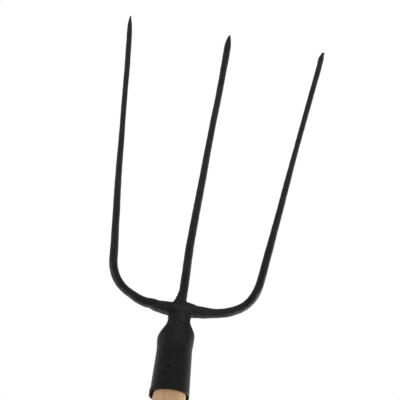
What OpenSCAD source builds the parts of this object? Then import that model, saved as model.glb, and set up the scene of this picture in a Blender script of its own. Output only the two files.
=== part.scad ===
// Three-tine hay fork: a forged steel head on a straight wooden handle.
// The origin is the middle of the handle's butt and +Z runs up the handle to the points.
// The tines lean and dish towards -Y, the side that the load lies on.

/* [Handle] */
// Length of the handle from its butt to its nose inside the socket
handle_len = 1200; // [900:10:1600]
// Thickness of the handle's straight round length
handle_dia = 34; // [28:0.5:40]
// Radius that rounds over the edge of the butt
butt_round = 9; // [3:0.5:12]

/* [Socket] */
// Height of the socket's round conical barrel above its mouth
barrel_len = 48; // [40:1:70]
// Thickness of the rolled wall
socket_wall = 2.2; // [1.8:0.1:3]
// Room round the handle at the mouth, which closes towards the handle's nose
mouth_gap = 0.8; // [0.4:0.1:1.5]
// Angle that each side of the barrel leans in
barrel_taper = 2.5; // [1.5:0.1:3.5]
// Width of the butted seam up the back of the barrel
seam_gap = 0.8; // [0.4:0.1:2]
// Height over which the barrel is pressed flat into the neck
shoulder_len = 29; // [22:1:40]
// How far pressing spreads each side of the shoulder beyond the barrel
shoulder_spread = 0.6; // [0.2:0.1:3]
// How much higher the right side of the shoulder draws in than the left
shoulder_skew = 4; // [0:0.5:6]
// Height of the neck between the shoulder and the middle of the yoke
neck_len = 10; // [8.5:0.5:20]
// Width of the neck
neck_width = 22.6; // [18:0.2:28]
// Depth of the neck from front to back
neck_depth = 14; // [13.4:0.2:18]

/* [Socket screw] */
// Height of the screw above the socket's mouth
screw_height = 24; // [15:1:34]
// Angle of the screw round the barrel, from the front towards the left
screw_angle = 23; // [-60:1:60]
// Width of the domed head
screw_head_dia = 10.6; // [7:0.2:12]
// Height of the domed head above the barrel
screw_head_height = 1.6; // [1.2:0.1:3]
// Thickness of the shank
screw_dia = 4; // [3:0.1:5]
// Length of the shank under the head
screw_len = 24; // [12:1:27]
// Width of the slot across the head
slot_width = 1.1; // [0.8:0.1:1.6]
// Depth of the slot
slot_depth = 0.5; // [0.3:0.1:1.1]

/* [Head] */
// How far the middle of the yoke stands in front of the handle's centre line
yoke_forward = 7.8; // [0:0.2:12]
// Lean of the head towards the front, at the yoke
head_lean = 22.8; // [5:0.2:35]
// Radius of the dish of the tines, seen from the side
dish_radius = 1920; // [900:10:5000]
// Radius of the yoke's flat curve in the middle
yoke_bend_radius = 192; // [150:1:260]
// Angle through which the yoke's flat curve turns on each side
yoke_bend_angle = 13.5; // [8:0.5:16]
// Radius of the bends from the yoke into the outer tines
corner_radius = 42; // [30:1:60]
// Angle that the left tine splays outwards
left_splay = 6.5; // [0:0.1:12]
// Angle that the right tine splays outwards
right_splay = 4.4; // [0:0.1:12]
// Length of the outer tines above the middle of the yoke, along the dish
outer_tine_len = 284.5; // [220:0.5:360]
// Length of the centre tine above the middle of the yoke, along the dish
centre_tine_len = 283; // [220:0.5:360]
// How far the straight length of the centre tine stands to the left of the middle
centre_shift = 1.8; // [0:0.1:4]
// Angle at which the foot of the centre tine leans in from the right
centre_lean = 2.3; // [0:0.1:4]
// Height above the yoke at which that lean ends
centre_lean_end = 66; // [40:1:90]

/* [Tines] */
// Thickness of the tines where they leave the yoke
tine_root_dia = 9.4; // [7.5:0.1:11]
// Thickness of the outer tines behind their points
outer_end_dia = 5.5; // [4:0.1:7]
// Thickness of the centre tine behind its point
centre_end_dia = 6.4; // [4:0.1:7.4]
// Length over which the tines taper, from the end of the yoke's flat curve
taper_len = 190; // [140:1:210]
// Length of the left tine's hammered point
left_point_len = 17; // [8:0.5:25]
// Length of the centre tine's hammered point
centre_point_len = 15; // [8:0.5:25]
// Length of the right tine's hammered point
right_point_len = 9; // [7:0.5:25]
// Width of the blunt end of each point
point_dia = 1; // [0.6:0.1:2]
// Height of the yoke bar in its thick middle
yoke_dia = 14.6; // [11:0.2:16]
// Depth of the yoke bar in its thick middle, from front to back
yoke_depth = 12.4; // [9:0.2:13]
// Run from the middle over which the yoke bar thins to the tine's thickness
yoke_swell_run = 38; // [28:1:60]

/* [Weld] */
// Thickness of the weld metal over the pieces it joins
weld_cover = 0.9; // [0.6:0.1:2]
// How far the weld runs down the neck from the middle of the yoke
weld_drop = 7; // [5:0.5:8]
// How far the weld runs up the centre tine from the middle of the yoke
weld_rise = 18; // [14:0.5:30]

/* [Hidden] */

// Room round the handle's nose at its end, and round the screw's head and shank
fit_gap = 0.15;
// Room between the handle's nose and the end of the socket's hollow
nose_space = 2;
// Height of the hollow's cone above the barrel
hollow_end = 4;
// Reach of a cut past the face that it starts from
cut_past = 1;
// Sides of the round sweeps, and of the finer round solids
sweep_sides = 24;
round_sides = 96;
// How squarely the neck is pressed: 2 is an ellipse, more is squarer
round_power = 2;
neck_power = 3.2;
// Run from the middle over which the yoke bar keeps its full thickness
swell_start = 8;
// Height above the yoke at which the centre tine is cut to sit on it
centre_root_up = 3;
// Height over which the lean of the centre tine's foot dies away
lean_ease = 6;
// How soon a point closes, and how bluntly it ends
point_power = 1.6;
point_blunt = 0.6;

handle_r = handle_dia / 2;
nose_len = barrel_len - nose_space;
mouth_z = handle_len - nose_len;
bore_r = handle_r + mouth_gap;
mouth_r = bore_r + socket_wall;
barrel_slope = tan(barrel_taper);
barrel_top_r = mouth_r - barrel_len * barrel_slope;
shoulder_z = mouth_z + barrel_len;
neck_z = shoulder_z + shoulder_len;
yoke_z = neck_z + neck_len;
tine_root_r = tine_root_dia / 2;

function mix(a, b, share) = a + (b - a) * share;
function clamp01(t) = min(1, max(0, t));
// Rises from 0 to 1 with no slope at either end
function ease(t) = (1 - cos(180 * clamp01(t))) / 2;
function degrees_along(run, radius) = run / radius * 180 / PI;

// The head is laid out flat, across and up, and then bent over a dished surface.
// Lean of that surface at a height above the yoke
function lean_at(up) = head_lean + degrees_along(up, dish_radius);
function head_y(up) = -yoke_forward - dish_radius * (cos(head_lean) - cos(lean_at(up)));
function head_z(up) = yoke_z + dish_radius * (sin(lean_at(up)) - sin(head_lean));
function head_point(across, up) = [across, head_y(up), head_z(up)];
// Direction square to a run at a heading, in the surface, and the direction out of it to the front
function head_side(heading, up) =
    [-sin(heading), -cos(heading) * sin(lean_at(up)), cos(heading) * cos(lean_at(up))];
function head_front(up) = [0, -cos(lean_at(up)), -sin(lean_at(up))];

// A solid through rings of points that all have the same number of points
module loft(rings) {
    count = len(rings[0]);
    last = len(rings) - 1;
    points = [for (ring = rings) each ring];
    walls = [for (i = [0:last - 1], j = [0:count - 1])
        let (k = (j + 1) % count)
        each [[i * count + j, (i + 1) * count + j, (i + 1) * count + k],
              [i * count + j, (i + 1) * count + k, i * count + k]]];
    bottom = [for (j = [1:count - 2]) [0, j, j + 1]];
    top = [for (j = [1:count - 2]) [last * count, last * count + j + 1, last * count + j]];
    polyhedron(points, concat(walls, bottom, top));
}

// A station is [across, up, heading, half width, half depth]
function station_ring(s) =
    let (middle = head_point(s[0], s[1]),
         side = head_side(s[2], s[1]),
         front = head_front(s[1]))
    [for (j = [0:sweep_sides - 1])
        let (a = j * 360 / sweep_sides)
        middle + side * s[3] * cos(a) + front * s[4] * sin(a)];

// Half thickness of a tine after a run from the start of its taper
function tine_r(run, end_dia) = mix(tine_root_r, end_dia / 2, clamp01(run / taper_len));
// Share of that thickness at a part of the way from the tip to the end of the point
function point_share(t) = pow(1 - pow(1 - clamp01(t), point_power), point_blunt);
function point_r(t, full_r) = max(point_dia / 2, full_r * point_share(t));

// Plan of one half of the yoke and its outer tine: [across, up, heading] after a run
flat_run = yoke_bend_radius * yoke_bend_angle * PI / 180;
flat_across = yoke_bend_radius * sin(yoke_bend_angle);
flat_up = yoke_bend_radius * (1 - cos(yoke_bend_angle));
function corner_turn(splay) = 90 - splay - yoke_bend_angle;
function corner_run(splay) = corner_radius * corner_turn(splay) * PI / 180;
function corner_point(turn) =
    [flat_across + corner_radius * (sin(yoke_bend_angle + turn) - sin(yoke_bend_angle)),
     flat_up + corner_radius * (cos(yoke_bend_angle) - cos(yoke_bend_angle + turn)),
     yoke_bend_angle + turn];
function flat_point(turn) =
    [yoke_bend_radius * sin(turn), yoke_bend_radius * (1 - cos(turn)), turn];
function straight_point(splay, run) =
    let (start = corner_point(corner_turn(splay)))
    [start[0] + run * sin(splay), start[1] + run * cos(splay), 90 - splay];
function straight_run(splay) =
    (outer_tine_len - corner_point(corner_turn(splay))[1]) / cos(splay);
function plan_at(run, splay) =
    run < flat_run ? flat_point(degrees_along(run, yoke_bend_radius))
    : run < flat_run + corner_run(splay) ? corner_point(degrees_along(run - flat_run, corner_radius))
    : straight_point(splay, run - flat_run - corner_run(splay));

// Runs of the rings along one half of the bar, closest in the bends and the point
flat_rings = 8;
corner_rings = 14;
straight_rings = 12;
point_rings = 8;
function half_runs(splay, point_len) =
    let (bend_end = flat_run + corner_run(splay),
         tip = bend_end + straight_run(splay),
         point_start = tip - point_len)
    concat([for (i = [0:flat_rings - 1]) flat_run * i / flat_rings],
           [for (i = [0:corner_rings - 1]) flat_run + corner_run(splay) * i / corner_rings],
           [for (i = [0:straight_rings - 1]) mix(bend_end, point_start, i / straight_rings)],
           [for (i = [0:point_rings]) point_start + point_len * sin(90 * i / point_rings)]);

// Half height or half depth of the bar at a run
function yoke_share(run) = 1 - ease((run - swell_start) / (yoke_swell_run - swell_start));
function bar_half(run, tip, point_len, yoke_half) =
    let (plain = tine_r(run - flat_run, outer_end_dia))
    tip - run < point_len ? point_r((tip - run) / point_len, plain)
    : mix(plain, yoke_half, yoke_share(run));

// One half's stations from the middle outwards, on the side given as 1 for right and -1 for left
function half_stations(splay, way, point_len) =
    let (tip = flat_run + corner_run(splay) + straight_run(splay))
    [for (run = half_runs(splay, point_len))
        let (p = plan_at(run, splay))
        [way * p[0], p[1], way * p[2],
         bar_half(run, tip, point_len, yoke_dia / 2),
         bar_half(run, tip, point_len, yoke_depth / 2)]];

function reversed(list) = [for (i = [len(list) - 1:-1:0]) list[i]];
function without_first(list) = [for (i = [1:len(list) - 1]) list[i]];

left_stations = half_stations(left_splay, -1, left_point_len);
right_stations = half_stations(right_splay, 1, right_point_len);

// The bar that is bent into the yoke and both outer tines
module yoke_bar() {
    loft([for (s = concat(reversed(left_stations), without_first(right_stations))) station_ring(s)]);
}

// The middle of that bar alone, which the neck and the centre tine are cut to sit on
module yoke_middle() {
    near = [for (s = right_stations) if (s[0] < flat_across) s];
    far = [for (s = left_stations) if (s[0] > -flat_across) s];
    loft([for (s = concat(reversed(far), without_first(near))) station_ring(s)]);
}

// Place across of the centre tine's middle at a height above the yoke
function centre_across(up) =
    -centre_shift + tan(centre_lean) * lean_ease * ln(1 + exp((centre_lean_end - up) / lean_ease));

// The centre tine, whole, down to the middle of the yoke
foot_rings = 6;
centre_rings = 14;
module centre_bar() {
    point_start = centre_tine_len - centre_point_len;
    ups = concat([for (i = [0:foot_rings - 1]) mix(centre_root_up, weld_rise, i / foot_rings)],
                 [for (i = [0:centre_rings - 1]) mix(weld_rise, point_start, i / centre_rings)],
                 [for (i = [0:point_rings]) point_start + centre_point_len * sin(90 * i / point_rings)]);
    loft([for (up = ups)
        let (half = point_r((centre_tine_len - up) / centre_point_len, tine_r(up, centre_end_dia)))
        station_ring([centre_across(up), up, 90, half, half])]);
}

// A level ring of the neck's form, from a round to a squarer section
function level_ring(middle_y, z, left, right, half_depth, power) =
    [for (j = [0:2 * sweep_sides - 1])
        let (a = j * 180 / sweep_sides,
             stretch = pow(pow(abs(cos(a)), power) + pow(abs(sin(a)), power), -1 / power),
             half_width = cos(a) > 0 ? right : left)
        [half_width * stretch * cos(a), middle_y + half_depth * stretch * sin(a), z]];

// The shoulder and neck, pressed from the round barrel and carried forward to the yoke
shoulder_rings = 14;
// Share of the shoulder over which its sides spread, before they draw in
spread_share = 0.28;
// How far the shoulder starts inside the barrel's edge, and how deep its root goes into the wall
neck_ledge = 0.05;
neck_root = 1;
module pressed_neck() {
    start_r = barrel_top_r - neck_ledge;
    spread_r = barrel_top_r + shoulder_spread;
    right_start = spread_share + shoulder_skew / shoulder_len;
    function half_width(t, start) = t < spread_share
        ? mix(start_r, spread_r, ease(t / spread_share))
        : mix(spread_r, neck_width / 2, ease((t - start) / (1 - start)));
    rings = [for (i = [0:shoulder_rings])
        let (t = i / shoulder_rings,
             back = mix(start_r, neck_depth / 2 - yoke_forward, ease(t)),
             front = mix(start_r, neck_depth / 2 + yoke_forward, ease(t)))
        level_ring((back - front) / 2, shoulder_z + t * shoulder_len,
                   half_width(t, spread_share), half_width(t, right_start),
                   (back + front) / 2, mix(round_power, neck_power, ease(t)))];
    root_r = barrel_top_r - socket_wall / 2;
    root = level_ring(0, shoulder_z - neck_root, root_r, root_r, root_r, round_power);
    top = level_ring(-yoke_forward, yoke_z, neck_width / 2, neck_width / 2, neck_depth / 2, neck_power);
    loft(concat([root], rings, [top]));
}

screw_surface_r = mouth_r - screw_height * barrel_slope;
screw_head_r = screw_head_dia / 2;
// Depth of the flat seat that takes up the barrel's curve under the head
screw_seat = screw_surface_r - sqrt(screw_surface_r * screw_surface_r - screw_head_r * screw_head_r);

// Places a child drawn along +Z on the screw's axis, with its origin on the barrel's surface
module on_screw_axis() {
    translate([0, 0, mouth_z + screw_height])
        rotate([0, 0, -90 - screw_angle])
            translate([screw_surface_r, 0, 0])
                rotate([0, 90 - barrel_taper, 0])
                    children();
}

module handle() {
    nose_r = bore_r - nose_len * barrel_slope - fit_gap;
    color("burlywood")
        difference() {
            rotate_extrude($fn = round_sides) {
                translate([handle_r - butt_round, butt_round])
                    intersection() {
                        circle(r = butt_round, $fn = round_sides);
                        translate([0, -butt_round])
                            square(butt_round);
                    }
                square([handle_r - butt_round, butt_round]);
                translate([0, butt_round])
                    square([handle_r, mouth_z - butt_round]);
                translate([0, mouth_z])
                    polygon([[0, 0], [handle_r, 0], [nose_r, nose_len], [0, nose_len]]);
            }
            on_screw_axis()
                translate([0, 0, -screw_len])
                    cylinder(h = screw_len + cut_past, d = screw_dia, $fn = round_sides);
        }
}

module socket() {
    bore_top_r = bore_r - barrel_len * barrel_slope;
    color("dimgray")
        difference() {
            union() {
                translate([0, 0, mouth_z])
                    cylinder(h = barrel_len, r1 = mouth_r, r2 = barrel_top_r, $fn = round_sides);
                pressed_neck();
            }
            translate([0, 0, mouth_z - cut_past])
                cylinder(h = barrel_len + cut_past, r1 = bore_r + cut_past * barrel_slope,
                         r2 = bore_top_r, $fn = round_sides);
            translate([0, 0, shoulder_z])
                cylinder(h = hollow_end, r1 = bore_top_r, r2 = bore_top_r / 2, $fn = round_sides);
            translate([-seam_gap / 2, 0, mouth_z - cut_past])
                cube([seam_gap, mouth_r + cut_past, barrel_len + cut_past]);
            on_screw_axis() {
                translate([0, 0, -2 * socket_wall])
                    cylinder(h = 3 * socket_wall, d = screw_dia + 2 * fit_gap, $fn = round_sides);
                translate([0, 0, -screw_seat])
                    cylinder(h = screw_seat + cut_past, r = screw_head_r + fit_gap, $fn = round_sides);
            }
            yoke_middle();
        }
}

// Width of the flat land round the dome
screw_land = 0.2;
module socket_screw() {
    foot_r = screw_head_r - screw_land;
    dome_r = (foot_r * foot_r + screw_head_height * screw_head_height) / (2 * screw_head_height);
    color("dimgray")
        on_screw_axis()
            difference() {
                rotate_extrude($fn = round_sides) {
                    translate([0, -screw_len])
                        square([screw_dia / 2, screw_len]);
                    translate([0, -screw_seat])
                        square([screw_head_r, screw_seat]);
                    intersection() {
                        translate([0, screw_head_height - dome_r])
                            circle(r = dome_r, $fn = round_sides);
                        square([foot_r, screw_head_height]);
                    }
                }
                translate([-screw_head_r - cut_past, -slot_width / 2, screw_head_height - slot_depth])
                    cube([screw_head_dia + 2 * cut_past, slot_width, slot_depth + cut_past]);
            }
}

module outer_tines() {
    color("dimgray")
        yoke_bar();
}

module centre_tine() {
    color("dimgray")
        difference() {
            centre_bar();
            yoke_middle();
        }
}

// The weld metal over the yoke, drawn as one blend from the neck to the centre tine
weld_rings = 10;
// Share of the weld's height over which it keeps its full depth
weld_full_share = 0.3;
module weld_blend() {
    full_depth = max(neck_depth, yoke_depth) / 2;
    loft([for (i = [0:weld_rings])
        let (t = i / weld_rings,
             up = mix(-weld_drop, weld_rise, t),
             width = mix(neck_width / 2, tine_root_r, ease(t)) + weld_cover,
             depth_share = ease((t - weld_full_share) / (1 - weld_full_share)),
             depth = mix(full_depth, tine_root_r, depth_share) + weld_cover)
        station_ring([centre_across(up) * t, up, 90, width, depth])]);
}

module yoke_weld() {
    color("dimgray")
        difference() {
            weld_blend();
            yoke_middle();
            centre_bar();
            pressed_neck();
        }
}

handle();
socket();
socket_screw();
outer_tines();
centre_tine();
yoke_weld();
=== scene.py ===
import math
from typing import NamedTuple

import bpy
import numpy as np
from mathutils import Matrix, Vector, noise


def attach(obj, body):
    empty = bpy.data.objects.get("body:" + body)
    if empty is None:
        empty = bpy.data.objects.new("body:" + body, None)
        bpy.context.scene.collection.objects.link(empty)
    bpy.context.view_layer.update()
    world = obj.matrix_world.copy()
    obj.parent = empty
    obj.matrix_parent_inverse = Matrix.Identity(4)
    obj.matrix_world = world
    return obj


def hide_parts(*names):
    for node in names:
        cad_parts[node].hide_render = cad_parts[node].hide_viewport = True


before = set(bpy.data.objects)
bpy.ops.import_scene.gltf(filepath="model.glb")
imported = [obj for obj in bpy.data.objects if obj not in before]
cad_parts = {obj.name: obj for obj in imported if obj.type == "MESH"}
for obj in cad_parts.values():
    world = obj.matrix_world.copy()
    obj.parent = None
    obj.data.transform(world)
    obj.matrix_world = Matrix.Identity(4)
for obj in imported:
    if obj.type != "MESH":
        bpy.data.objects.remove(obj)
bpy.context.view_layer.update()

# Sizes are in millimetres, as in the part. Times MM they are in metres, as in the scene.
MM = 0.001

# Handle
HANDLE_LENGTH = 1200.0
HANDLE_RADIUS = 17.0
BUTT_ROUND = 9.0
BUTT_RINGS = 10
NOSE_CHAMFER = 1.5
HANDLE_SIDES = 96
HANDLE_STEP = 12.0
END_RING_RADIUS = 0.5

# Where it enters the socket, the handle is a little thinner and stands a little to the left
MOUTH_THINNING = 0.35
MOUTH_SHIFT = -0.1
MOUTH_REACH = 30.0

# Unevenness of the turned wood: its depth, its largest share of the radius, and its size along X, Y and Z
WOOD_DEPTH = 0.1
WOOD_SHARE = 0.01
WOOD_SIZE = (12.0, 12.0, 140.0)

# Socket: a rolled sheet, with a conical barrel, a shoulder and a neck
BARREL_HEIGHT = 48.0
BARREL_SLOPE = math.tan(math.radians(2.5))
NOSE_SPACE = 2.0
FIT_GAP = 0.15
MOUTH_GAP = 0.8
WALL = 2.2
SEAM_GAP = 0.8
SHOULDER_HEIGHT = 29.0
SHOULDER_SPREAD = 0.6
NECK_HEIGHT = 10.0
NECK_WIDTH = 22.6
NECK_DEPTH = 14.0
SOCKET_SIDES = 144
SOCKET_STEP = 1.0
SOCKET_TOP_GAP = 4.0

# Heights between which the sheet spreads, and its left and right sides are pressed in to the neck
SPREAD_HEIGHTS = (BARREL_HEIGHT - 3, BARREL_HEIGHT + 9)
LEFT_PRESS_HEIGHTS = (56.0, 76.0)
RIGHT_PRESS_HEIGHTS = (60.5, 77.0)

# Uneven places of the pressed sides: height, how far they reach, and size
LEFT_SIDE_BUMPS = ((61, 9, 0.6), (82, 6, 0.25))
RIGHT_SIDE_BUMPS = ((62, 6, -0.4),)

# Power of the outline's curve: 2 is an ellipse, and more is squarer
BARREL_POWER = 2.0
NECK_POWER = 3.2

# Rounded lower edge of the sheet
LIP_RADIUS = 0.6
LIP_ROWS = 4
LIP_INNER_SHARE = 0.6

# Uneven rim: it hangs lower at the back, and flares out with a burr on the left
RIM_DROP = 3.8
RIM_DROP_REACH = 12.0
RIM_FLARE = 0.65
RIM_FLARE_REACH = 8.5
FLARE_POWER = 4
BURR_HEIGHT = 4.2
BURR_REACH = 0.9
BURR_SIZE = 0.75

# Cosines of the angle from the back, at which the rim's drop begins and is in full
RIM_DROP_COSINES = (-0.45, 0.10)

# Dents, which come in between two heights, and slight waves of the whole sheet
DENT_DEPTH = 0.12
DENT_SIZE = 9.0
DENT_HEIGHTS = (30.0, 60.0)
WAVE_DEPTH = 0.05
WAVE_SIZE = 14.0

# Head: a bar that is the yoke and both outer tines, and the centre tine
YOKE_FORWARD = 7.8
HEAD_LEAN = math.radians(22.8)
DISH_RADIUS = 1920.0
FLAT_RADIUS = 192.0
FLAT_ANGLE = math.radians(13.5)
CORNER_RADIUS = 42.0
LEFT_SPLAY = math.radians(6.5)
RIGHT_SPLAY = math.radians(4.4)
LEFT_LENGTH = 283.4
RIGHT_LENGTH = 284.45
CENTRE_LENGTH = 283.5
ROOT_RADIUS = 4.7
OUTER_END_RADIUS = 2.75
CENTRE_END_RADIUS = 3.2
TAPER_END = 190.0
YOKE_HALF_HEIGHT = 7.3
YOKE_HALF_DEPTH = 6.2
YOKE_SWELL_RUNS = (8.0, 38.0)
BAR_SIDES = 40
BAR_STEP = 1.0

# The centre tine starts a little above the yoke's middle, leans to the left as far as its bend and goes
# straight on, and its tip leans a little more
CENTRE_START = 3.0
CENTRE_SHIFT = 1.8
CENTRE_LEAN = math.radians(2.3)
CENTRE_BEND = 66.0
CENTRE_BEND_EASE = 6.0
TIP_LEAN = 0.65
TIP_LEAN_START = 245.0
TIP_LEAN_RUN = 35.0
TIP_LEAN_POWER = 1.5

# Ground points: their lengths, the curve that they follow, and the half width left at the very end
LEFT_POINT = 20.0
CENTRE_POINT = 15.0
RIGHT_POINT = 8.5
POINT_POWERS = (1.6, 0.6)
POINT_END_RADIUS = 0.5
RIGHT_END_HALF_WIDTH = 1.5
POINT_RINGS = 16

# Uneven places of the hand-forged bars: run or height, how far they reach, and size.
# A kink moves the bar sideways, towards the centre tine or to the right, and a lump thickens it.
LEFT_KINKS = (
    (24, 9, -0.5), (30.5, 3, 0.4), (36.5, 5, -0.35), (42, 9, -0.5), (51, 5, 0.35), (58, 9, 0.5),
    (64, 7, -0.25), (78, 8, -0.3), (106, 18, 0.35), (170, 16, -0.35), (194, 16, -0.3), (290, 24, 0.45),
    (317, 8, 0.12), (335, 16, -0.2),
)
RIGHT_KINKS = (
    (10, 14, 1.1), (39, 8, -0.3), (70, 10, -0.7), (83, 7, -0.25), (92, 8, 0.3), (165, 40, -0.35),
    (336, 8, 0.5), (342, 5, -0.7),
)
CENTRE_KINKS = ((13, 8, -0.3), (58, 12, -0.2), (136, 22, 0.2), (222, 24, 0.35))
LEFT_LUMPS = (
    (30, 5, 0.6), (30.5, 2.5, -0.3), (40, 5, 0.15), (54, 6, -0.35), (64, 7, -0.2), (100, 8, 0.12),
    (317, 8, -0.12), (331, 6, 0.12),
)
RIGHT_LUMPS = ((18, 5, -0.35), (26, 7, 0.25), (83, 8, 0.25), (128, 10, 0.12), (192, 12, 0.1))

# Thicker places of the centre tine's point: distance from its tip, reach, and share of its width
SPEAR_BUMPS = ((20, 12, 0.08), (5, 7, 0.12))

# Hammer marks: their depth, their size, and how far their seed is from the bar's own
HAMMER_MARKS = ((0.16, 7.0, 0.0), (0.08, 2.3, 30.0))

# Largest share of its radius by which a mark moves the bar's surface
MARK_SHARE = 0.15

# Heights on the whole fork
MOUTH_Z = HANDLE_LENGTH - BARREL_HEIGHT + NOSE_SPACE
NECK_Z = MOUTH_Z + BARREL_HEIGHT + SHOULDER_HEIGHT
YOKE_Z = NECK_Z + NECK_HEIGHT
MOUTH_RADIUS = HANDLE_RADIUS + MOUTH_GAP + WALL
BARREL_TOP_RADIUS = MOUTH_RADIUS - BARREL_HEIGHT * BARREL_SLOPE
FLAT_RUN = FLAT_RADIUS * FLAT_ANGLE

# Weld: its grid's corners and step, how softly its beads run together, and how square its pillows are
WELD_LOW = (-24.0, -26.0, YOKE_Z - 19.0)
WELD_HIGH = (24.0, 6.0, YOKE_Z + 30.0)
WELD_STEP = 0.6
WELD_SOFTNESS = 0.8
PILLOW_POWER = 3.5

# Lumps of the weld: their depth, their size and their seed
WELD_LUMPS = ((0.22, 3.2, 40.0), (0.12, 1.6, 50.0))

# Weld tongue on the front of the neck
TONGUE_CENTRE = (1.6, -14.3, MOUTH_Z + 78.5)
TONGUE_REACH = (2.8, 1.5, 6.2)

# Screw: its height above the mouth, its angle from the front and its shank
SCREW_HEIGHT = 24.0
SCREW_ANGLE = math.radians(23.0)
SCREW_RADIUS = 2.0
SCREW_LENGTH = 24.0
SCREW_TIP_RADIUS = 0.6
SCREW_TIP_LENGTH = 5.0

# Top of the shank and the screw's domed head, with heights from the surface of the barrel
SHANK_TOP = -0.6
SCREW_HEAD_BOTTOM = -0.5
SCREW_HEAD_RADIUS = 5.3
SCREW_HEAD_EDGE = 0.2
DOME_HEIGHT = 1.6
DOME_POWERS = (3.2, 2.2)
DOME_RINGS = 34
DOME_LAST_ANGLE = 0.02
SCREW_SIDES = 64

# The slit in the screw's head stands off the middle, in a shallow groove and inside a pressed ring
SLOT_WIDTH = 1.0
SLOT_HALF_LENGTH = 2.0
SLOT_DEPTH = 1.3
SLOT_SIDE = 0.5
SLOT_EDGE = 0.1
GROOVE_DEPTH = 0.15
RING_RADIUS = 2.2
RING_WIDTH = 0.4
RING_HEIGHT = 0.14

# Camera, as it stood for the photograph
CAMERA_AZIMUTH = math.radians(-9.70)
CAMERA_ELEVATION = math.radians(-24.09)
CAMERA_ROLL = math.radians(6.29)
CAMERA_DISTANCE = 1759.7
CAMERA_TARGET = Vector((9.18, 0.0, MOUTH_Z + 215.93))
CAMERA_LENS = 150.56
SENSOR_WIDTH = 36.0

# Floor, in metres: its radius, and the stretch over which it fades to white
FLOOR_RADIUS = 8.0
FLOOR_FADE = (0.6, 2.6)
FLOOR_SIDES = 96
FLOOR_GREY = 0.8
FLOOR_GLOW = 1.0

# Light of the world, and lamps: name, place and size in metres, and power in watts
WORLD_LEVEL = 0.6
HEAD_MIDDLE = (0, -0.05, 1.3)
LAMPS = (
    ("right", (3.0, 0.0, 0.75), 1.3, 40),
    ("right_back", (2.6, 1.6, 0.6), 1.1, 50),
    ("left", (-3.0, 0.2, 0.75), 1.3, 14),
    ("front_high", (0.0, -1.8, 3.0), 1.6, 5),
)


class Finish(NamedTuple):
    """A finish of the black enamel: darkest and lightest grey, share of blue, roughness, depth of bump."""
    dark: float
    light: float
    blue: float
    roughness: float
    bump: float


SMOOTH = Finish(dark=0.0040, light=0.0060, blue=1.04, roughness=0.36, bump=0.10)
FORGED = Finish(dark=0.0045, light=0.0150, blue=1.00, roughness=0.45, bump=0.55)
# Lighter enamel up the tines, as painted highlight towards their tips
TIP_HIGHLIGHT = Finish(dark=0.0110, light=0.0220, blue=0.88, roughness=0.45, bump=0.40)

# Heights between which the enamel goes from one finish to the next, and how far that edge wavers
SOCKET_FINISH_HEIGHTS = (MOUTH_Z + 42, MOUTH_Z + 64)
HEAD_FINISH_HEIGHTS = (YOKE_Z + 5, YOKE_Z + 120)
FINISH_WAVER = 8.0
ROUGHNESS_SPREAD = 0.12

# Darkest and lightest grey of rubbed enamel with painted highlight, of painted highlight on the undersides,
# and of painted shadow
RUBBED_AND_LIT = (0.0170, 0.0220)
UNDERSIDE_HIGHLIGHT = (0.0280, 0.0950)
SCREW_HEAD_SHADOW = (0.0002, 0.0008)

# Shares of its reach at which a patch has faded out, and at which it is in full
PATCH_EDGE = (1.3, 0.7)

# Places of rubbed enamel that is painted lighter as highlight, and a painted shadow: middle and reach, in
# millimetres, greys and strength
LIGHT_SHADE_AND_WEAR_PATCHES = (
    # Rubbed enamel, also painted lighter as highlight: the weld's pad, the tongue, the shoulder's flat and
    # the right arm
    ((1.4, -16.5, YOKE_Z + 1.5), (9.5, 6.0, 3.6), RUBBED_AND_LIT, 0.8),
    ((1.2, -15.0, MOUTH_Z + 79.0), (3.0, 4.0, 5.0), RUBBED_AND_LIT, 0.9),
    ((-1.0, -16.5, MOUTH_Z + 62.0), (4.5, 6.0, 9.0), RUBBED_AND_LIT, 0.2),
    ((2.5, -17.0, MOUTH_Z + 55.5), (6.5, 6.0, 7.0), RUBBED_AND_LIT, 0.3),
    ((36.0, -9.0, YOKE_Z + 3.0), (26.0, 12.0, 9.0), RUBBED_AND_LIT, 0.35),
    # Painted shadow under the screw's head
    ((-8.4, -17.4, MOUTH_Z + 17.8), (4.5, 4.0, 1.2), SCREW_HEAD_SHADOW, 0.8),
)

# Undersides of the bar, the rim and the screw that are painted lighter, as highlight of light from below:
# middle, reach, the way that the lit face is turned, how much of that turn it has at its edge and in full,
# and strength
LIT_UNDERSIDES = (
    # Painted highlight of light from below: undersides of both arms, the mouth's rim and the screw's head
    ((-24.0, -7.0, YOKE_Z - 3.0), (17.0, 9.0, 12.0), (-0.31, 0.21, -0.93), (0.48, 0.68), 0.95),
    ((-46.0, -9.0, YOKE_Z + 2.0), (14.0, 9.0, 9.0), (-0.50, 0.18, -0.85), (0.45, 0.70), 0.65),
    ((-62.0, -13.0, YOKE_Z + 10.0), (13.0, 11.0, 12.0), (-0.38, -0.30, -0.87), (0.76, 0.93), 0.5),
    ((-74.0, -17.0, YOKE_Z + 23.0), (11.0, 12.0, 14.0), (-0.62, -0.42, -0.66), (0.78, 0.95), 0.4),
    ((60.5, -11.5, YOKE_Z + 9.0), (15.0, 12.0, 13.0), (0.27, -0.33, -0.90), (0.72, 0.86), 0.85),
    ((73.0, -17.0, YOKE_Z + 21.0), (11.0, 12.0, 14.0), (0.58, -0.44, -0.69), (0.72, 0.86), 0.85),
    ((27.0, -7.0, YOKE_Z - 3.0), (22.0, 9.0, 9.0), (0.12, 0.20, -0.97), (0.48, 0.68), 0.5),
    ((19.0, -3.0, MOUTH_Z + 0.6), (3.0, 8.0, 2.0), (0.40, -0.10, -0.91), (0.40, 0.80), 0.7),
    ((-8.0, -18.2, MOUTH_Z + 19.8), (4.6, 3.0, 1.6), (-0.23, -0.55, -0.80), (0.75, 0.92), 0.15),
)

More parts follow.
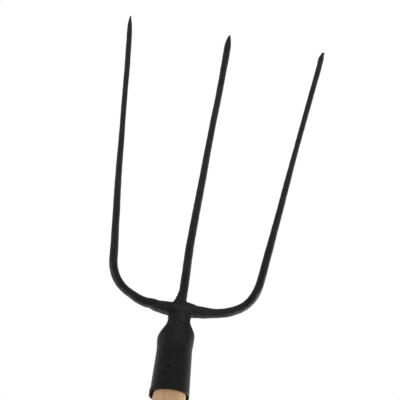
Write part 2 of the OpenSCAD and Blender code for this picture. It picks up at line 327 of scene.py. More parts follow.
# Wood: its two tones, each with its place on the scale of the grain, and the brown of its pores
WOOD_TONES = ((0.30, (0.435, 0.259, 0.136)), (0.72, (0.560, 0.368, 0.211)))
PORE_BROWN = (0.20, 0.11, 0.05, 1)

# Painted shade on the wood, which begins at the socket's mouth and darkens the gap inside it
SOCKET_SHADE = (0.012, 0.009, 0.007, 1)
SOCKET_SHADE_HEIGHTS = (MOUTH_Z - 0.3, MOUTH_Z + 0.5)

# How far the middle of the growth rings is from the handle's own, in metres
RINGS_MIDDLE = (0.020, 0.055, 0)

# Shares of Z that draw out the grain's bands and rings, its broad tones and its pores along the handle
BAND_SHARE = 0.035
BROAD_SHARE = 0.2
PORE_SHARE = 0.09


def mix(a, b, share):
    return a + (b - a) * share


def ease_between(value, start, end):
    """Share that goes smoothly from 0 to 1 as a value goes from start to end."""
    share = np.clip((value - start) / (end - start), 0, 1)
    return (1 - np.cos(np.pi * share)) / 2


def bumps(run, places):
    """Sum of rounded bumps, each given by its place, its reach and its size."""
    return sum(size * np.exp(-((run - place) / reach) ** 2) for place, reach, size in places)


def wobble(points, size, seed):
    """Smooth noise at each point, from about -1 to 1, with features of the given size."""
    flat = np.asarray(points).reshape(-1, 3) / size + np.array([seed, 0, 0])
    values = np.array([noise.noise(Vector(p)) for p in flat])
    return values.reshape(np.shape(points)[:-1])


def make_camera():
    back = Vector((math.sin(CAMERA_AZIMUTH) * math.cos(CAMERA_ELEVATION),
                   -math.cos(CAMERA_AZIMUTH) * math.cos(CAMERA_ELEVATION),
                   math.sin(CAMERA_ELEVATION)))
    level_right = (-back).cross(Vector((0, 0, 1))).normalized()
    level_up = level_right.cross(-back)
    right = math.cos(CAMERA_ROLL) * level_right + math.sin(CAMERA_ROLL) * level_up
    up = math.cos(CAMERA_ROLL) * level_up - math.sin(CAMERA_ROLL) * level_right
    data = bpy.data.cameras.new("camera")
    data.sensor_width = SENSOR_WIDTH
    data.lens = CAMERA_LENS
    data.clip_start = 0.05
    data.clip_end = 50
    camera = link("camera", data)
    place = (CAMERA_TARGET + back * CAMERA_DISTANCE) * MM
    camera.matrix_world = Matrix.Translation(place) @ Matrix((right, up, back)).transposed().to_4x4()
    bpy.context.scene.camera = camera


# Meshes

def link(name, data):
    made = bpy.data.objects.new(name, data)
    bpy.context.scene.collection.objects.link(made)
    return made


def smooth_mesh(name, points, faces):
    mesh = bpy.data.meshes.new(name)
    mesh.from_pydata((np.asarray(points) * MM).tolist(), [], [tuple(int(k) for k in face) for face in faces])
    mesh.validate()
    mesh.polygons.foreach_set("use_smooth", [True] * len(mesh.polygons))
    mesh.update()
    return link(name, mesh)


def circle(radius, height, sides):
    """Points of a level circle round the Z axis."""
    angle = np.arange(sides) * 2 * np.pi / sides
    return np.stack([radius * np.cos(angle), radius * np.sin(angle), np.full(sides, height)], -1)


def band_faces(first, second, closed=True):
    """Quads between two rows of point numbers."""
    count = len(first)
    last = count if closed else count - 1
    return [(first[j], first[(j + 1) % count], second[(j + 1) % count], second[j]) for j in range(last)]


def skin(name, rings):
    """A closed smooth mesh through rings of points, with a middle point at each end."""
    rings = np.asarray(rings)
    count, sides = rings.shape[:2]
    points = np.concatenate([rings.reshape(-1, 3), [rings[0].mean(0), rings[-1].mean(0)]])
    numbers = np.arange(count * sides).reshape(count, sides)
    faces = []
    for i in range(count - 1):
        faces += band_faces(numbers[i], numbers[i + 1])
    first, last = count * sides, count * sides + 1
    for j in range(sides):
        k = (j + 1) % sides
        faces.append((first, numbers[0][k], numbers[0][j]))
        faces.append((last, numbers[-1][j], numbers[-1][k]))
    return smooth_mesh(name, points, faces)


# Shape of the dished head, which is laid out flat, across and up, and then bent

def head_point(across, up):
    lean = HEAD_LEAN + up / DISH_RADIUS
    y = -YOKE_FORWARD - DISH_RADIUS * (math.cos(HEAD_LEAN) - np.cos(lean))
    z = YOKE_Z + DISH_RADIUS * (np.sin(lean) - math.sin(HEAD_LEAN))
    return np.stack([across, y, z], -1)


def head_side(heading, up):
    """Direction across a bar that has the given heading."""
    lean = HEAD_LEAN + up / DISH_RADIUS
    return np.stack([-np.sin(heading), -np.cos(heading) * np.sin(lean), np.cos(heading) * np.cos(lean)], -1)


def head_front(up):
    """Direction out of the hollow side of the head."""
    lean = HEAD_LEAN + up / DISH_RADIUS
    return np.stack([np.zeros_like(up), -np.cos(lean), -np.sin(lean)], -1)


def half_plan(splay, run):
    """Across, up and heading of one half of the yoke bar and its tine, after a run from the middle."""
    turn = math.pi / 2 - splay - FLAT_ANGLE
    flat_turn = np.minimum(run, FLAT_RUN) / FLAT_RADIUS
    corner_turn = FLAT_ANGLE + np.clip(run - FLAT_RUN, 0, CORNER_RADIUS * turn) / CORNER_RADIUS
    straight = np.maximum(run - FLAT_RUN - CORNER_RADIUS * turn, 0)
    across = FLAT_RADIUS * np.sin(flat_turn) + straight * math.sin(splay)
    across += CORNER_RADIUS * (np.sin(corner_turn) - math.sin(FLAT_ANGLE))
    up = FLAT_RADIUS * (1 - np.cos(flat_turn)) + straight * math.cos(splay)
    up += CORNER_RADIUS * (math.cos(FLAT_ANGLE) - np.cos(corner_turn))
    return across, up, np.where(run <= FLAT_RUN, flat_turn, corner_turn)


def tip_run(splay, length):
    """Run from the middle of the yoke to the tip of an outer tine."""
    corner_run = CORNER_RADIUS * (math.pi / 2 - splay - FLAT_ANGLE)
    end_up = half_plan(splay, np.array([FLAT_RUN + corner_run]))[1][0]
    return FLAT_RUN + corner_run + (length - end_up) / math.cos(splay)


def point_share(t):
    """Share of the full width that a ground point keeps, from 0 at its tip to 1."""
    curve, fullness = POINT_POWERS
    return (1 - (1 - np.clip(t, 0, 1)) ** curve) ** fullness


def stations(start, tip, point):
    """Runs at a steady step, closer together over the point."""
    body = np.arange(start, tip - point, BAR_STEP)
    return np.concatenate([body, tip - point * np.cos(np.linspace(0, np.pi / 2, POINT_RINGS))])


def tine_radius(up, end_radius):
    return mix(ROOT_RADIUS, end_radius, np.clip(up / TAPER_END, 0, 1))


def sweep_rings(across, up, heading, half_width, half_depth, sway):
    """Rings round a bar, and the middle of each."""
    middle = head_point(across, up) + head_side(heading, up) * sway[:, None]
    angle = np.arange(BAR_SIDES) * 2 * np.pi / BAR_SIDES
    wide = head_side(heading, up)[:, None] * (half_width[:, None] * np.cos(angle))[..., None]
    deep = head_front(up)[:, None] * (half_depth[:, None] * np.sin(angle))[..., None]
    return middle[:, None] + wide + deep, middle[:, None]


def forged(rings, middle, seed):
    """Moves rings of points in and out from their middles, as a hammer leaves them."""
    for depth, size, seed_shift in HAMMER_MARKS:
        out = rings - middle
        length = np.linalg.norm(out, axis=-1, keepdims=True)
        amount = wobble(rings, size, seed + seed_shift)[..., None]
        rings = rings + out / np.maximum(length, 1e-6) * amount * np.minimum(depth, length * MARK_SHARE)
    return rings


def outer_half(way, splay, length, point, end_half_width, kinks, lumps):
    """Stations of one half of the outer tines, from the middle of the yoke to the tip."""
    tip = tip_run(splay, length)
    run = stations(0, tip, point)
    across, up, heading = half_plan(splay, run)
    plain = tine_radius(run - FLAT_RUN, OUTER_END_RADIUS)
    swell = 1 - ease_between(run, *YOKE_SWELL_RUNS)
    share = point_share((tip - run) / point)
    half = np.maximum((mix(plain, YOKE_HALF_HEIGHT, swell) + bumps(run, lumps)) * share, end_half_width)
    deep = np.maximum((mix(plain, YOKE_HALF_DEPTH, swell) + bumps(run, lumps)) * share, POINT_END_RADIUS)
    return [way * across, up, way * heading, half, deep, bumps(run, kinks)]


def make_outer_tines():
    left = outer_half(-1, LEFT_SPLAY, LEFT_LENGTH, LEFT_POINT, POINT_END_RADIUS, LEFT_KINKS, LEFT_LUMPS)
    right = outer_half(1, RIGHT_SPLAY, RIGHT_LENGTH, RIGHT_POINT, RIGHT_END_HALF_WIDTH, RIGHT_KINKS,
                       RIGHT_LUMPS)
    whole = [np.concatenate([a[::-1], b[1:]]) for a, b in zip(left, right)]
    return skin("outer_tines_forged", forged(*sweep_rings(*whole), seed=3.0))


def centre_across(up):
    """How far the middle of the centre tine stands to the right, at a height on the head."""
    bend = np.log1p(np.exp((CENTRE_BEND - up) / CENTRE_BEND_EASE)) * CENTRE_BEND_EASE
    tip_lean = TIP_LEAN * np.clip((up - TIP_LEAN_START) / TIP_LEAN_RUN, 0, 1) ** TIP_LEAN_POWER
    return -CENTRE_SHIFT + math.tan(CENTRE_LEAN) * bend - tip_lean + bumps(up, CENTRE_KINKS)


def make_centre_tine():
    up = stations(CENTRE_START, CENTRE_LENGTH, CENTRE_POINT)
    share = point_share((CENTRE_LENGTH - up) / CENTRE_POINT)
    spear = 1 + bumps(CENTRE_LENGTH - up, SPEAR_BUMPS)
    half = np.maximum(tine_radius(up, CENTRE_END_RADIUS) * share * spear, POINT_END_RADIUS)
    heading = np.full_like(up, np.pi / 2)
    rings, middle = sweep_rings(centre_across(up), up, heading, half, half, np.zeros_like(up))
    return skin("centre_tine_forged", forged(rings, middle, seed=8.0))


# The socket: one rolled sheet, round at the mouth and pressed flat at the neck

def socket_outline(height, angle):
    """Point of the sheet's outer face. The angle goes round from the back through the left."""
    press = ease_between(height, BARREL_HEIGHT, BARREL_HEIGHT + SHOULDER_HEIGHT)
    round_radius = MOUTH_RADIUS - np.minimum(height, BARREL_HEIGHT) * BARREL_SLOPE
    spread = round_radius + SHOULDER_SPREAD * ease_between(height, *SPREAD_HEIGHTS)
    left = mix(spread, NECK_WIDTH / 2, ease_between(height, *LEFT_PRESS_HEIGHTS))
    left += bumps(height, LEFT_SIDE_BUMPS)
    right = mix(spread, NECK_WIDTH / 2, ease_between(height, *RIGHT_PRESS_HEIGHTS))
    right += bumps(height, RIGHT_SIDE_BUMPS)
    front = mix(round_radius, NECK_DEPTH / 2 + YOKE_FORWARD, press)
    back = mix(round_radius, NECK_DEPTH / 2 - YOKE_FORWARD, press)
    power = mix(BARREL_POWER, NECK_POWER, press)
    sine, cosine = np.sin(angle), np.cos(angle)
    stretch = (np.abs(cosine) ** power + np.abs(sine) ** power) ** (-1 / power)
    half_width = np.where(sine > 0, left, right)
    middle, half_depth = (back - front) / 2, (back + front) / 2
    flare = RIM_FLARE * (1 - ease_between(height, 0, RIM_FLARE_REACH))
    flare += bumps(height, ((BURR_HEIGHT, BURR_REACH, BURR_SIZE),))
    x = -half_width * stretch * sine - np.clip(sine, 0, 1) ** FLARE_POWER * flare
    y = middle + half_depth * stretch * cosine
    drop = RIM_DROP * ease_between(cosine, *RIM_DROP_COSINES) * (1 - ease_between(height, 0, RIM_DROP_REACH))
    return np.stack([x, y, MOUTH_Z + height - drop], -1)


def socket_normals(height, angle):
    """Outward directions of the sheet's outer face."""
    nudge = 0.01
    along = socket_outline(height, angle + nudge) - socket_outline(height, angle - nudge)
    upward = socket_outline(height + nudge, angle) - socket_outline(height - nudge, angle)
    normals = np.cross(along, upward)
    return normals / np.linalg.norm(normals, axis=-1, keepdims=True)


def make_socket():
    top = BARREL_HEIGHT + SHOULDER_HEIGHT + NECK_HEIGHT - SOCKET_TOP_GAP
    curl = np.linspace(0, np.pi / 2, LIP_ROWS + 1)[:-1]
    heights = [LIP_RADIUS * (1 - np.sin(curl)), np.arange(LIP_RADIUS, top, SOCKET_STEP), [top]]
    heights = np.unique(np.concatenate(heights))
    in_lip = np.maximum(LIP_RADIUS - heights, 0)
    inset = (LIP_RADIUS - np.sqrt(LIP_RADIUS ** 2 - in_lip ** 2))[:, None]
    half_gap = SEAM_GAP / 2 / BARREL_TOP_RADIUS
    angles = np.linspace(half_gap, 2 * np.pi - half_gap, SOCKET_SIDES)
    height, angle = np.meshgrid(heights, angles, indexing="ij")
    outline = socket_outline(height, angle)
    normals = socket_normals(height, angle)
    dents = DENT_DEPTH * wobble(outline, DENT_SIZE, seed=21.0) * ease_between(height, *DENT_HEIGHTS)
    dents += WAVE_DEPTH * wobble(outline, WAVE_SIZE, seed=5.0)
    outer = outline + normals * (dents - inset)[..., None]
    inner = outline - normals * (WALL - inset * LIP_INNER_SHARE)[..., None]
    rows = len(heights)
    outer_numbers = np.arange(rows * SOCKET_SIDES).reshape(rows, SOCKET_SIDES)
    inner_numbers = outer_numbers + rows * SOCKET_SIDES
    faces = []
    for i in range(rows - 1):
        faces += band_faces(outer_numbers[i], outer_numbers[i + 1], closed=False)
        faces += band_faces(inner_numbers[i + 1], inner_numbers[i], closed=False)
    faces += band_faces(inner_numbers[0], outer_numbers[0], closed=False)
    faces += band_faces(outer_numbers[-1], inner_numbers[-1], closed=False)
    faces += band_faces(outer_numbers[:, 0], inner_numbers[:, 0], closed=False)
    faces += band_faces(inner_numbers[:, -1], outer_numbers[:, -1], closed=False)
    points = np.concatenate([outer.reshape(-1, 3), inner.reshape(-1, 3)])
    return smooth_mesh("socket_rolled", points, faces)


# The weld: a lumpy blend over the places where the bar, the neck and the centre tine meet

def blob(points, centre, axes, directions):
    """Rough distance to an ellipsoid with the given half axes."""
    local = (points - centre) @ np.asarray(directions).T / axes
    return (np.linalg.norm(local, axis=-1) - 1) * min(axes)


def pillow(points, centre, axes, directions):
    """Rough distance to a squarish pillow with the given half axes."""
    local = np.abs((points - centre) @ np.asarray(directions).T) / axes
    return ((local ** PILLOW_POWER).sum(-1) ** (1 / PILLOW_POWER) - 1) * min(axes)


def rod(points, start, end, start_radius, end_radius):
    """Distance to a round rod that tapers."""
    line = end - start
    share = np.clip((points - start) @ line / (line @ line), 0, 1)
    near = start + share[..., None] * line
    return np.linalg.norm(points - near, axis=-1) - mix(start_radius, end_radius, share)


def neighbours(axis):
    """Slices of a grid that give the points before and after each step along an axis."""
    before = [slice(None)] * 3
    after = [slice(None)] * 3
    before[axis] = slice(0, -1)
    after[axis] = slice(1, None)
    return tuple(before), tuple(after)


def add_crossings(field, cut, axis, total, count):
    """Adds each place where a step along an axis crosses the surface to the four cells round that step."""
    before, after = neighbours(axis)
    place = np.stack(np.indices(cut.shape), -1).astype(float)
    place[..., axis] += field[before] / np.where(cut, field[before] - field[after], 1)
    others = [other for other in range(3) if other != axis]
    for shifts in np.ndindex(2, 2):
        part = [slice(None)] * 3
        for other, shift in zip(others, shifts):
            part[other] = slice(shift, cut.shape[other] - 1 + shift)
        part = tuple(part)
        total += np.where(cut[part][..., None], place[part], 0)
        count += cut[part]


def crossing_quads(inside, cut, axis, numbers):
    """A quad through the four cells round each step along an axis that crosses the surface."""
    others = [other for other in range(3) if other != axis]
    spots = np.argwhere(cut)
    for other in others:
        spots = spots[(spots[:, other] > 0) & (spots[:, other] < numbers.shape[other])]
    corners = []
    for first_shift, second_shift in ((0, 0), (1, 0), (1, 1), (0, 1)):
        cells = spots.copy()
        cells[:, others[0]] -= first_shift
        cells[:, others[1]] -= second_shift
        corners.append(numbers[tuple(cells.T)])
    quads = np.stack(corners, -1)
    turned = inside[tuple(spots.T)] == (axis == 1)
    quads[turned] = quads[turned][:, ::-1]
    return quads.tolist()


def surface_of(field, low, step):
    """Points and quads where a field on a grid passes through zero, with one point in each cell there."""
    inside = field < 0
    cells = np.array(field.shape) - 1
    total = np.zeros((*cells, 3))
    count = np.zeros(cells)
    cuts = []
    for axis in range(3):
        before, after = neighbours(axis)
        cuts.append(inside[before] != inside[after])
        add_crossings(field, cuts[axis], axis, total, count)
    used = count > 0
    numbers = np.full(cells, -1)
    numbers[used] = np.arange(used.sum())
    points = low + total[used] / count[used][:, None] * step
    faces = []
    for axis in range(3):
        faces += crossing_quads(inside, cuts[axis], axis, numbers)
    return points, faces


def weld_shapes(grid):
    """Distances from a grid's points to the beads, placed across, up and out from the head's front."""
    side = np.array([1.0, 0, 0])
    front = head_front(np.array(0.0))
    directions = [side, front, np.cross(side, front)]

    def at(across, up, out=0.0):
        return head_point(np.array(float(across)), np.array(float(up))) + front * out

    foot = centre_across(np.array(4.0))
    knee = centre_across(np.array(17.0))
    return [
        # Mass round the joint, the pad on its front and the bed on the neck
        blob(grid, at(0.3, 0.2), (16.0, 6.6, 7.6), directions),
        pillow(grid, at(1.6, 0.6, 2.6), (10.2, 4.6, 4.6), directions),
        pillow(grid, at(0, -2.5, -1.5), (12.0, 6.5, 6.0), directions),
        # Bead up the centre tine's root
        rod(grid, at(foot - 0.4, 4), at(knee - 0.3, 17), 4.7, 4.2),
        # Two beads of the left fillet, and the one of the right fillet
        rod(grid, at(-7.4, 4.8), at(-3.8, 12.5), 2.6, 2.0),
        rod(grid, at(-3.7, 12.5), at(-2.8, 20.0), 2.0, 1.4),
        rod(grid, at(2.6, 7.1), at(12.6, 6.2), 3.2, 2.7),
        # Tongue on the neck
        blob(grid, np.array(TONGUE_CENTRE), TONGUE_REACH, np.eye(3)),
    ]


def make_weld():
    low = np.array(WELD_LOW)
    counts = np.ceil((np.array(WELD_HIGH) - low) / WELD_STEP).astype(int)
    grid = low + WELD_STEP * np.stack(np.indices(counts), -1)
    field = -WELD_SOFTNESS * np.log(sum(np.exp(-shape / WELD_SOFTNESS) for shape in weld_shapes(grid)))
    for depth, size, seed in WELD_LUMPS:
        field = field - depth * wobble(grid, size, seed)
    points, faces = surface_of(field, low, WELD_STEP)
    return smooth_mesh("yoke_weld_beads", points, faces)


def dome_ring(radius):
    """One ring of the screw's dome, with its share of the pressed ring, the groove and the slit."""
    ring = circle(radius, 0.0, SCREW_SIDES)
    x, y = ring[:, 0], ring[:, 1] - SLOT_SIDE
    outer_power, inner_power = DOME_POWERS
    dome = DOME_HEIGHT * (1 - (radius / SCREW_HEAD_RADIUS) ** outer_power) ** (1 / inner_power)
    pressed = RING_HEIGHT * np.exp(-((np.hypot(x, y) - RING_RADIUS) / RING_WIDTH) ** 2)
    across = 1 / (1 + np.exp((np.abs(y) - SLOT_WIDTH / 2) / SLOT_EDGE))
    along = np.exp(-(x / SLOT_HALF_LENGTH) ** 4)
    ring[:, 2] = dome + pressed - across * (GROOVE_DEPTH + along * (SLOT_DEPTH - GROOVE_DEPTH))
    return ring


def make_screw():
    """The screw's head and shank, drawn along +Z from the surface of the barrel and then turned."""
    profile = (
        (SCREW_TIP_RADIUS, -SCREW_LENGTH),
        (SCREW_RADIUS, -SCREW_LENGTH + SCREW_TIP_LENGTH),
        (SCREW_RADIUS, SHANK_TOP),
        (SCREW_HEAD_RADIUS - SCREW_HEAD_EDGE, SCREW_HEAD_BOTTOM),
        (SCREW_HEAD_RADIUS, SCREW_HEAD_BOTTOM),
    )
    rings = [circle(radius, height, SCREW_SIDES) for radius, height in profile]
    angles = np.linspace(math.pi / 2, DOME_LAST_ANGLE, DOME_RINGS)
    rings += [dome_ring(radius) for radius in SCREW_HEAD_RADIUS * np.sin(angles)]
    surface = MOUTH_RADIUS - SCREW_HEIGHT * BARREL_SLOPE
    lean = Matrix.Rotation(math.pi / 2 - math.atan(BARREL_SLOPE), 3, "Y")
    turn = Matrix.Rotation(-math.pi / 2 - SCREW_ANGLE, 3, "Z")
    placed = np.asarray(rings) @ np.array(lean).T + np.array([surface, 0, 0])
    placed = placed @ np.array(turn).T + np.array([0, 0, MOUTH_Z + SCREW_HEIGHT])
    return skin("socket_screw_slotted", placed)


def handle_profile():
    """Radius and height of each ring of the handle, from the middle of the butt to the end of the nose."""
    nose_radius = HANDLE_RADIUS - (BARREL_HEIGHT - NOSE_SPACE) * BARREL_SLOPE - MOUTH_GAP + FIT_GAP
    profile = [(END_RING_RADIUS, 0.0)]
    for angle in np.linspace(0, np.pi / 2, BUTT_RINGS):
        radius = HANDLE_RADIUS - BUTT_ROUND * (1 - math.sin(angle))
        profile.append((radius, BUTT_ROUND * (1 - math.cos(angle))))
    for height in np.arange(BUTT_ROUND + HANDLE_STEP, MOUTH_Z, HANDLE_STEP):
        profile.append((HANDLE_RADIUS, height))
    profile.append((HANDLE_RADIUS, MOUTH_Z))
    profile.append((nose_radius, HANDLE_LENGTH - NOSE_CHAMFER))
    profile.append((nose_radius - NOSE_CHAMFER, HANDLE_LENGTH))
    profile.append((END_RING_RADIUS, HANDLE_LENGTH))
    return profile


def make_handle():
    rings = np.array([circle(radius, height, HANDLE_SIDES) for radius, height in handle_profile()])
    height = rings[..., 2]
    near_mouth = np.exp(-((height - MOUTH_Z) / MOUTH_REACH) ** 2) * (height <= MOUTH_Z)
    uneven = wobble(rings / np.array(WOOD_SIZE), 1.0, seed=60.0)
    out = rings - rings.mean(1, keepdims=True)
    length = np.linalg.norm(out, axis=-1, keepdims=True)
    rings = rings + out / length * uneven[..., None] * np.minimum(WOOD_DEPTH, length * WOOD_SHARE)
    rings = rings - out / length * near_mouth[..., None] * MOUTH_THINNING
    rings[..., 0] += near_mouth * MOUTH_SHIFT
    return skin("handle_turned", rings)


# Nodes of materials and of the world

def add_node(tree, kind, inputs, **settings):
    """A new node with its settings. Each input, by name or number, takes a link or a value."""
    node = tree.nodes.new(kind)
    for name, value in settings.items():
        setattr(node, name, value)
    for name, value in inputs.items():
        if isinstance(value, bpy.types.NodeSocket):
            tree.links.new(value, node.inputs[name])
        else:
            node.inputs[name].default_value = value
    return node


def new_material(name):
    """A material, its node tree and its shader."""
    material = bpy.data.materials.new(name)
    material.use_nodes = True
    return material, material.node_tree, material.node_tree.nodes["Principled BSDF"]


def noise_texture(tree, vector, scale, detail):
    inputs = {"Vector": vector, "Scale": scale, "Detail": detail}
    return add_node(tree, "ShaderNodeTexNoise", inputs).outputs["Fac"]


def arithmetic(tree, operation, first, second):
    """Result of a sum on two sockets, or on a socket and a number."""
    return add_node(tree, "ShaderNodeMath", {0: first, 1: second}, operation=operation).outputs[0]


def weighted_sum(tree, *terms):
    """Sum of sockets, each times its weight."""
    parts = [arithmetic(tree, "MULTIPLY", socket, weight) for socket, weight in terms]
    total = parts[0]
    for part in parts[1:]:
        total = arithmetic(tree, "ADD", total, part)
    return total


def range_node(tree, value, low, high, to_low=0.0, to_high=1.0):
    """A value's place between low and high, on the scale from to_low to to_high."""
    inputs = {"Value": value, "From Min": low, "From Max": high, "To Min": to_low, "To Max": to_high}
    return add_node(tree, "ShaderNodeMapRange", inputs).outputs["Result"]


def ramp_node(tree, share, stops):
    ramp = add_node(tree, "ShaderNodeValToRGB", {"Fac": share})
    for element, (place, colour) in zip(ramp.color_ramp.elements, stops):
        element.position = place
        element.color = (*colour, 1)
    return ramp.outputs["Color"]


def grey_ramp(tree, share, dark, light, blue=1.0):
    stops = ((0.40, (dark, dark, dark * blue)), (0.60, (light, light, light * blue)))
    return ramp_node(tree, share, stops)


def colour_mix(tree, share, first, second):
    inputs = {"Fac": share, "Color1": first, "Color2": second}
    return add_node(tree, "ShaderNodeMixRGB", inputs).outputs["Color"]


def bump_node(tree, height, strength, distance):
    inputs = {"Height": height, "Strength": strength, "Distance": distance}
    return add_node(tree, "ShaderNodeBump", inputs).outputs["Normal"]


def object_height(tree, place):
    return add_node(tree, "ShaderNodeSeparateXYZ", {0: place.outputs["Object"]}).outputs["Z"]


def near_share(tree, place, middle, reach, uneven):
    """Share that is 1 near a place, in millimetres, and fades to 0 round its reach along each axis."""
    inputs = {
        "Vector": place.outputs["Object"],
        "Location": [-m / r for m, r in zip(middle, reach)],
        "Scale": [1 / (r * MM) for r in reach],
    }
    moved = add_node(tree, "ShaderNodeMapping", inputs).outputs["Vector"]
    length = add_node(tree, "ShaderNodeVectorMath", {0: moved}, operation="LENGTH").outputs["Value"]
    return range_node(tree, arithmetic(tree, "ADD", length, uneven), *PATCH_EDGE)


def with_light_shade_and_wear(tree, place, blotch, uneven, tone):
    """The enamel's tone with its rubbed places, also painted lighter as highlight, and its painted shadow.
    """
    # Each patch paints rubbed enamel with a highlight, or the shadow under the screw's head
    for middle, reach, greys, strength in LIGHT_SHADE_AND_WEAR_PATCHES:
        near = near_share(tree, place, middle, reach, uneven)
        amount = arithmetic(tree, "MULTIPLY", near, strength)
        tone = colour_mix(tree, amount, tone, grey_ramp(tree, blotch, *greys))
    return tone


def with_lit_undersides(tree, place, blotch, uneven, tone):
    """The enamel's tone with painted highlight on the undersides, where light from below falls."""
    underside_highlight = grey_ramp(tree, blotch, *UNDERSIDE_HIGHLIGHT)
    # Paints a highlight of light from below on faces that turn down
    for middle, reach, facing, turns, strength in LIT_UNDERSIDES:
        near = near_share(tree, place, middle, reach, uneven)
        inputs = {0: place.outputs["Normal"], 1: facing}
        turn = add_node(tree, "ShaderNodeVectorMath", inputs, operation="DOT_PRODUCT").outputs["Value"]
        lit_share = arithmetic(tree, "MULTIPLY", near, range_node(tree, turn, *turns))
        tone = colour_mix(tree, arithmetic(tree, "MULTIPLY", lit_share, strength), tone, underside_highlight)
    return tone


def enamel_material(name, lower, upper, heights):
    """Black enamel that goes from one finish to another between two heights, in millimetres."""
    material, tree, shader = new_material(name)
    shader.inputs["Specular IOR Level"].default_value = 0.11
    place = tree.nodes.new("ShaderNodeTexCoord")
    patches = noise_texture(tree, place.outputs["Object"], scale=110, detail=4)
    grain = noise_texture(tree, place.outputs["Object"], scale=560, detail=3)
    blotch = weighted_sum(tree, (patches, 0.4), (grain, 0.6))
    waver = FINISH_WAVER * MM
    raised = arithmetic(tree, "MULTIPLY", patches, waver)
    height = arithmetic(tree, "ADD", object_height(tree, place), raised)
    low, high = [edge * MM + waver / 2 for edge in heights]
    share = range_node(tree, height, low, high)
    lower_tone = grey_ramp(tree, blotch, lower.dark, lower.light, lower.blue)
    upper_tone = grey_ramp(tree, blotch, upper.dark, upper.light, upper.blue)
    tone = colour_mix(tree, share, lower_tone, upper_tone)
    uneven = range_node(tree, blotch, 0.3, 0.7, -0.3, 0.3)
    tone = with_light_shade_and_wear(tree, place, blotch, uneven, tone)
    tone = with_lit_undersides(tree, place, blotch, uneven, tone)
    tree.links.new(tone, shader.inputs["Base Color"])
    half_spread = ROUGHNESS_SPREAD / 2
    even = range_node(tree, share, 0, 1, lower.roughness - half_spread, upper.roughness - half_spread)
    rough = arithmetic(tree, "ADD", even, arithmetic(tree, "MULTIPLY", patches, ROUGHNESS_SPREAD))
    tree.links.new(rough, shader.inputs["Roughness"])
    strength = range_node(tree, share, 0, 1, lower.bump, upper.bump)
    tree.links.new(bump_node(tree, grain, strength, distance=0.0004), shader.inputs["Normal"])
    return material


def stretched_place(tree, place, share):
    """Object coordinates, off the handle's middle, in which features are longer along Z."""
    inputs = {"Vector": place.outputs["Object"], "Location": RINGS_MIDDLE, "Scale": (1, 1, share)}
    return add_node(tree, "ShaderNodeMapping", inputs).outputs["Vector"]


def wood_material():
    """Bare turned ash: soft growth bands and fine pores along the length, and painted shade inside the
    socket.
    """
    material, tree, shader = new_material("bare_wood")
    shader.inputs["Specular IOR Level"].default_value = 0.3
    place = tree.nodes.new("ShaderNodeTexCoord")
    along = stretched_place(tree, place, BAND_SHARE)
    bands = noise_texture(tree, along, scale=150, detail=3)
    broad = noise_texture(tree, stretched_place(tree, place, BROAD_SHARE), scale=30, detail=2)
    inputs = {"Vector": along, "Scale": 70, "Distortion": 9, "Detail": 2, "Detail Scale": 1.3}
    waves = add_node(tree, "ShaderNodeTexWave", inputs, wave_type="RINGS", rings_direction="Z")
    grain = weighted_sum(tree, (bands, 0.60), (waves.outputs["Fac"], 0.14), (broad, 0.26))
    tone = ramp_node(tree, grain, WOOD_TONES)
    pores = noise_texture(tree, stretched_place(tree, place, PORE_SHARE), scale=900, detail=2)
    tone = colour_mix(tree, range_node(tree, pores, 0.30, 0.42, 0.30, 0), tone, PORE_BROWN)
    low, high = [edge * MM for edge in SOCKET_SHADE_HEIGHTS]
    # Painted shade: the wood goes dark from the socket's mouth up
    tone = colour_mix(tree, range_node(tree, object_height(tree, place), low, high), tone, SOCKET_SHADE)
    tree.links.new(tone, shader.inputs["Base Color"])
    tree.links.new(range_node(tree, bands, 0, 1, 0.50, 0.66), shader.inputs["Roughness"])
    tree.links.new(bump_node(tree, pores, strength=0.25, distance=0.0002), shader.inputs["Normal"])
    return material


def make_stage():
    """A pale round floor that fades to white far out, and lights the fork from below like a pale table."""
    rim = circle(FLOOR_RADIUS, 0.0, FLOOR_SIDES)
    mesh = bpy.data.meshes.new("floor")
    mesh.from_pydata(rim.tolist(), [], [tuple(range(FLOOR_SIDES))])
    link("floor", mesh)
    material, tree, shader = new_material("pale_floor")
    shader.inputs["Base Color"].default_value = (FLOOR_GREY, FLOOR_GREY, FLOOR_GREY, 1)
    shader.inputs["Roughness"].default_value = 0.9
    place = tree.nodes.new("ShaderNodeTexCoord").outputs["Object"]
    away = add_node(tree, "ShaderNodeVectorMath", {0: place}, operation="LENGTH").outputs["Value"]
    white = tree.nodes.new("ShaderNodeEmission").outputs[0]
    light = add_node(tree, "ShaderNodeEmission", {"Strength": FLOOR_GLOW}).outputs[0]
    fade = range_node(tree, away, *FLOOR_FADE)
    seen = add_node(tree, "ShaderNodeMixShader", {0: fade, 1: shader.outputs[0], 2: white}).outputs[0]
    by_camera = tree.nodes.new("ShaderNodeLightPath").outputs["Is Camera Ray"]
    switch = add_node(tree, "ShaderNodeMixShader", {0: by_camera, 1: light, 2: seen}).outputs[0]
    tree.links.new(switch, tree.nodes["Material Output"].inputs["Surface"])
    mesh.materials.append(material)


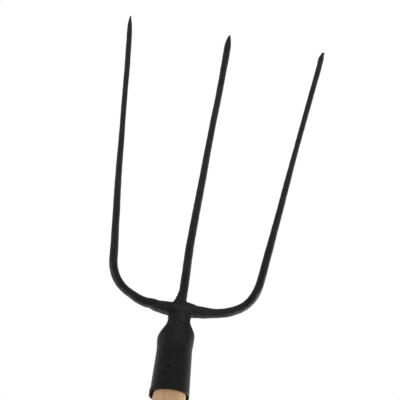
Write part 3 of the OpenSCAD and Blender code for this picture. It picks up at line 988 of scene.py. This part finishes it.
def make_world():
    """Soft light all round, which the camera and reflections see as plain white."""
    world = bpy.data.worlds.new("studio")
    world.use_nodes = True
    tree = world.node_tree
    light = tree.nodes["Background"]
    light.inputs["Color"].default_value = (1, 1, 1, 1)
    light.inputs["Strength"].default_value = WORLD_LEVEL
    white = add_node(tree, "ShaderNodeBackground", {"Color": (1, 1, 1, 1), "Strength": 1}).outputs[0]
    path = tree.nodes.new("ShaderNodeLightPath")
    seen = path.outputs["Is Camera Ray"]
    for kind in ("Is Glossy Ray", "Is Transmission Ray"):
        seen = arithmetic(tree, "MAXIMUM", seen, path.outputs[kind])
    switch = add_node(tree, "ShaderNodeMixShader", {0: seen, 1: light.outputs[0], 2: white}).outputs[0]
    tree.links.new(switch, tree.nodes["World Output"].inputs["Surface"])
    bpy.context.scene.world = world


def make_lamp(name, place, size, power):
    """A square lamp that is turned to the fork's head."""
    data = bpy.data.lights.new(name, "AREA")
    data.shape = "SQUARE"
    data.size = size
    data.energy = power
    lamp = link(name, data)
    lamp.location = place
    lamp.visible_camera = False
    lamp.rotation_euler = (Vector(HEAD_MIDDLE) - Vector(place)).to_track_quat("-Z", "Y").to_euler()


make_camera()
make_world()
make_stage()
for lamp_values in LAMPS:
    make_lamp(*lamp_values)

socket_enamel = enamel_material("socket_enamel", SMOOTH, FORGED, SOCKET_FINISH_HEIGHTS)
# The head's enamel is painted lighter up the tines as highlight
head_enamel = enamel_material("head_enamel", FORGED, TIP_HIGHLIGHT, HEAD_FINISH_HEIGHTS)
wood = wood_material()

pieces = (
    (make_outer_tines(), "outer_tines", "black_steel", head_enamel),
    (make_centre_tine(), "centre_tine", "black_steel", head_enamel),
    (make_socket(), "socket", "black_steel", socket_enamel),
    (make_weld(), "yoke_weld", "black_steel", head_enamel),
    (make_screw(), "socket_screw", "screw_steel", socket_enamel),
    (make_handle(), "handle", "wood", wood),
)
for piece, node_name, slot, finish in pieces:
    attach(piece, "root")
    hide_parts(node_name)
    piece.data.materials.append(finish)

bpy.context.scene.view_settings.view_transform = "Standard"
